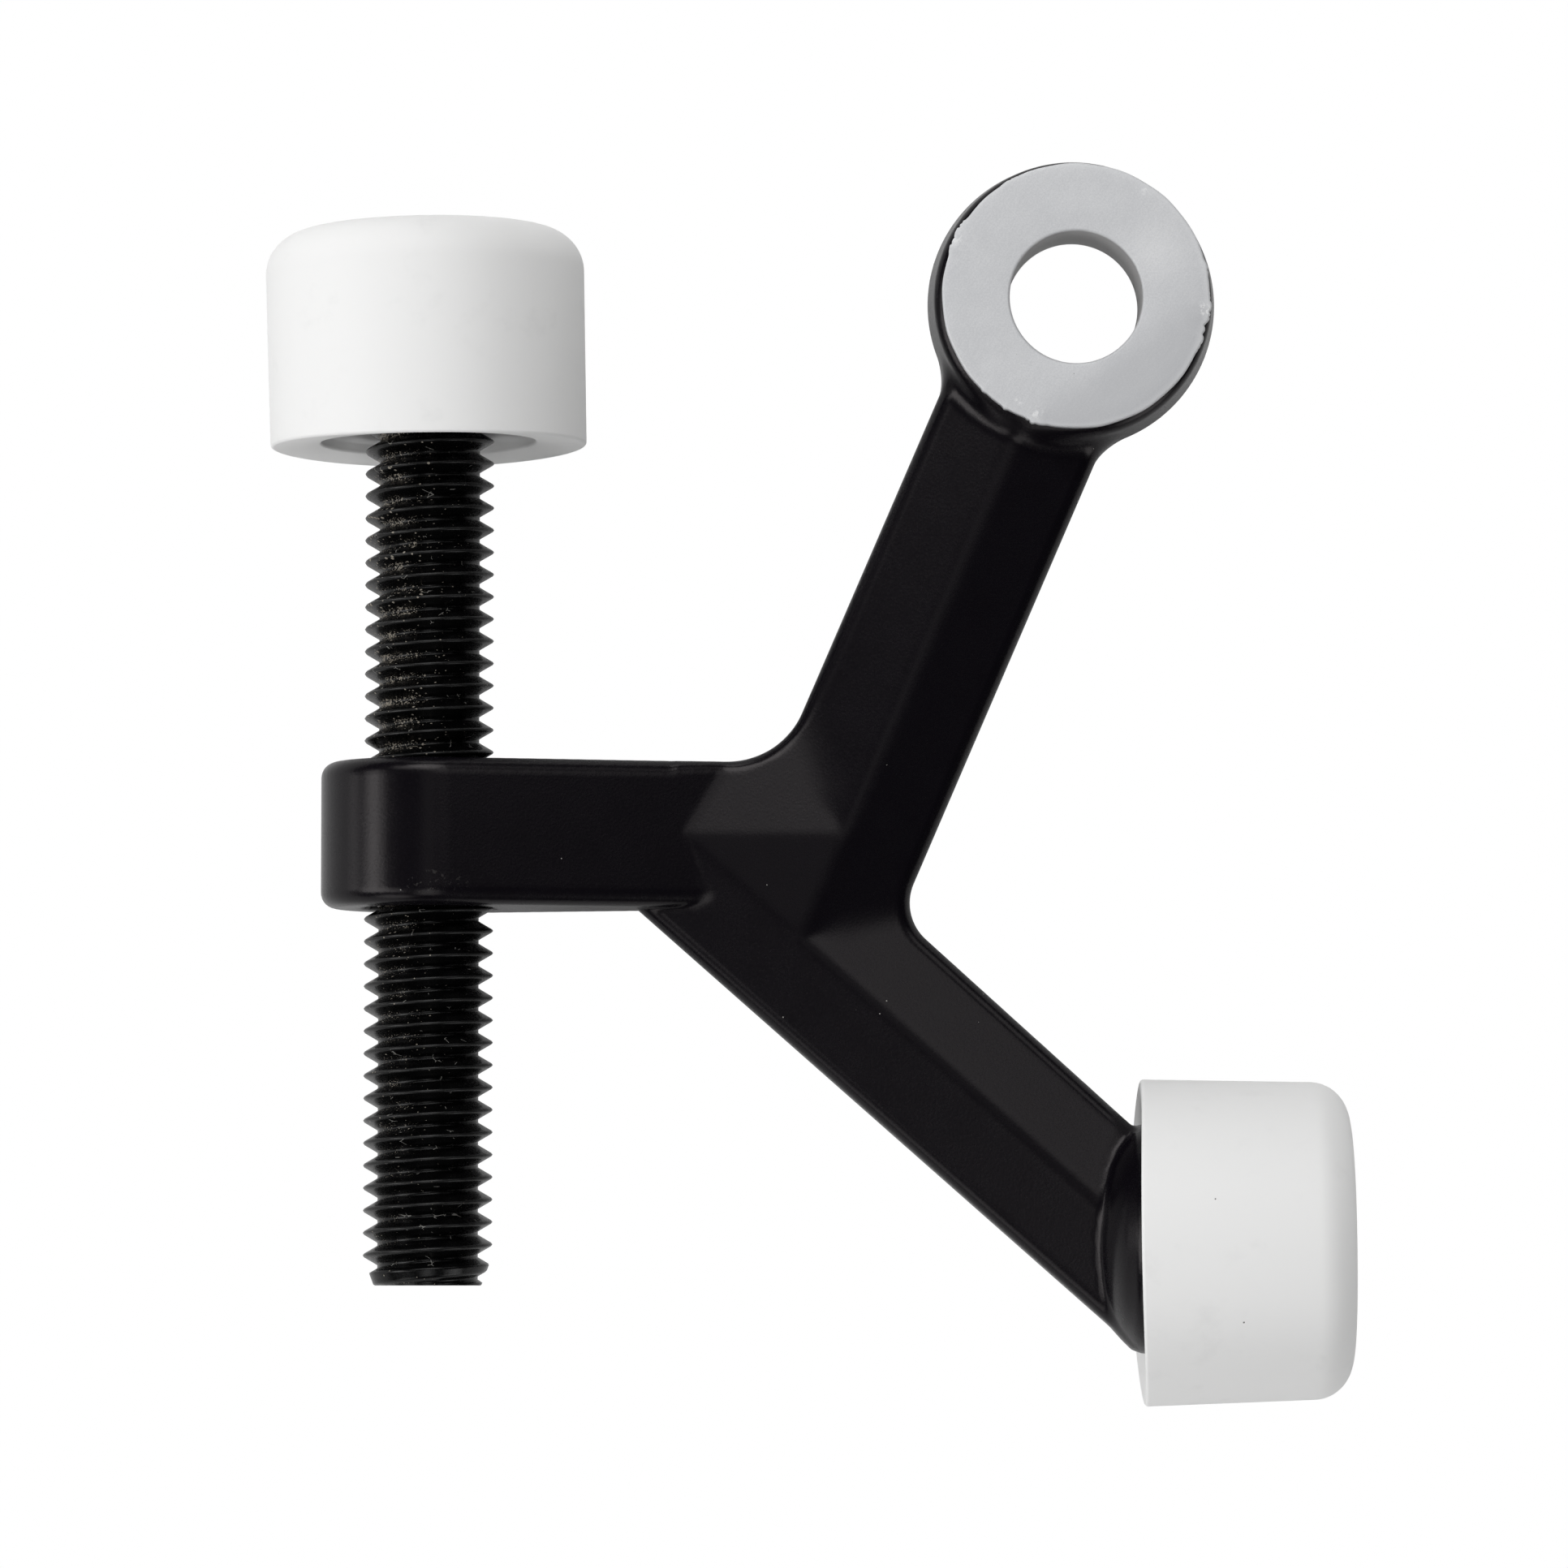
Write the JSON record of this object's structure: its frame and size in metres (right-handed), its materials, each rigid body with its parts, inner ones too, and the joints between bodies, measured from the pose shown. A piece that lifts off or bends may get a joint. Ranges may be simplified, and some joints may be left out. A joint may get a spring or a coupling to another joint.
{
  "type": "hinge pin door stop",
  "caption": "Hinge pin door stop: a Y-shaped cast bracket with a bushed eye for the hinge pin, a fixed rubber foot and an adjusting screw with a rubber tip.",
  "frame": {"origin": "on the hinge pin's axis, at the middle of the eye's depth", "axes": "+Z along the hinge pin, out of the flanged face; +Y along the adjusting screw, towards its rubber tip; +X towards the fixed foot"},
  "size_m": [0.0667, 0.0765, 0.02],
  "materials": {
    "black_casting": "satin black powder coat on a zinc die casting",
    "black_screw": "semi-gloss black coated steel with a cut thread",
    "nylon": "milky natural nylon, lightly scuffed",
    "white_rubber": "matte white rubber"
  },
  "bodies": {
    "bracket": {"casting": "black_casting", "eye_bushing": "nylon", "foot_tip": "white_rubber"},
    "tip_carrier": {"screw_tip": "white_rubber"},
    "screw": {"adjusting_screw": "black_screw"}
  },
  "joints": [
    {"name": "screw_travel", "type": "slide", "parent": "bracket", "child": "tip_carrier", "axis": [0, 1, 0], "range_m": [-0.01925, 0.02063]},
    {"name": "screw_turn", "type": "hinge", "parent": "tip_carrier", "child": "screw", "pos_m": [-0.03964, -0.0331, 0], "axis": [0, 1, 0], "range_deg": [-5040, 5400]}
  ],
  "couplings": [
    {"joint": "screw_turn", "follows": "screw_travel", "rad_per_m": 4569.6}
  ]
}
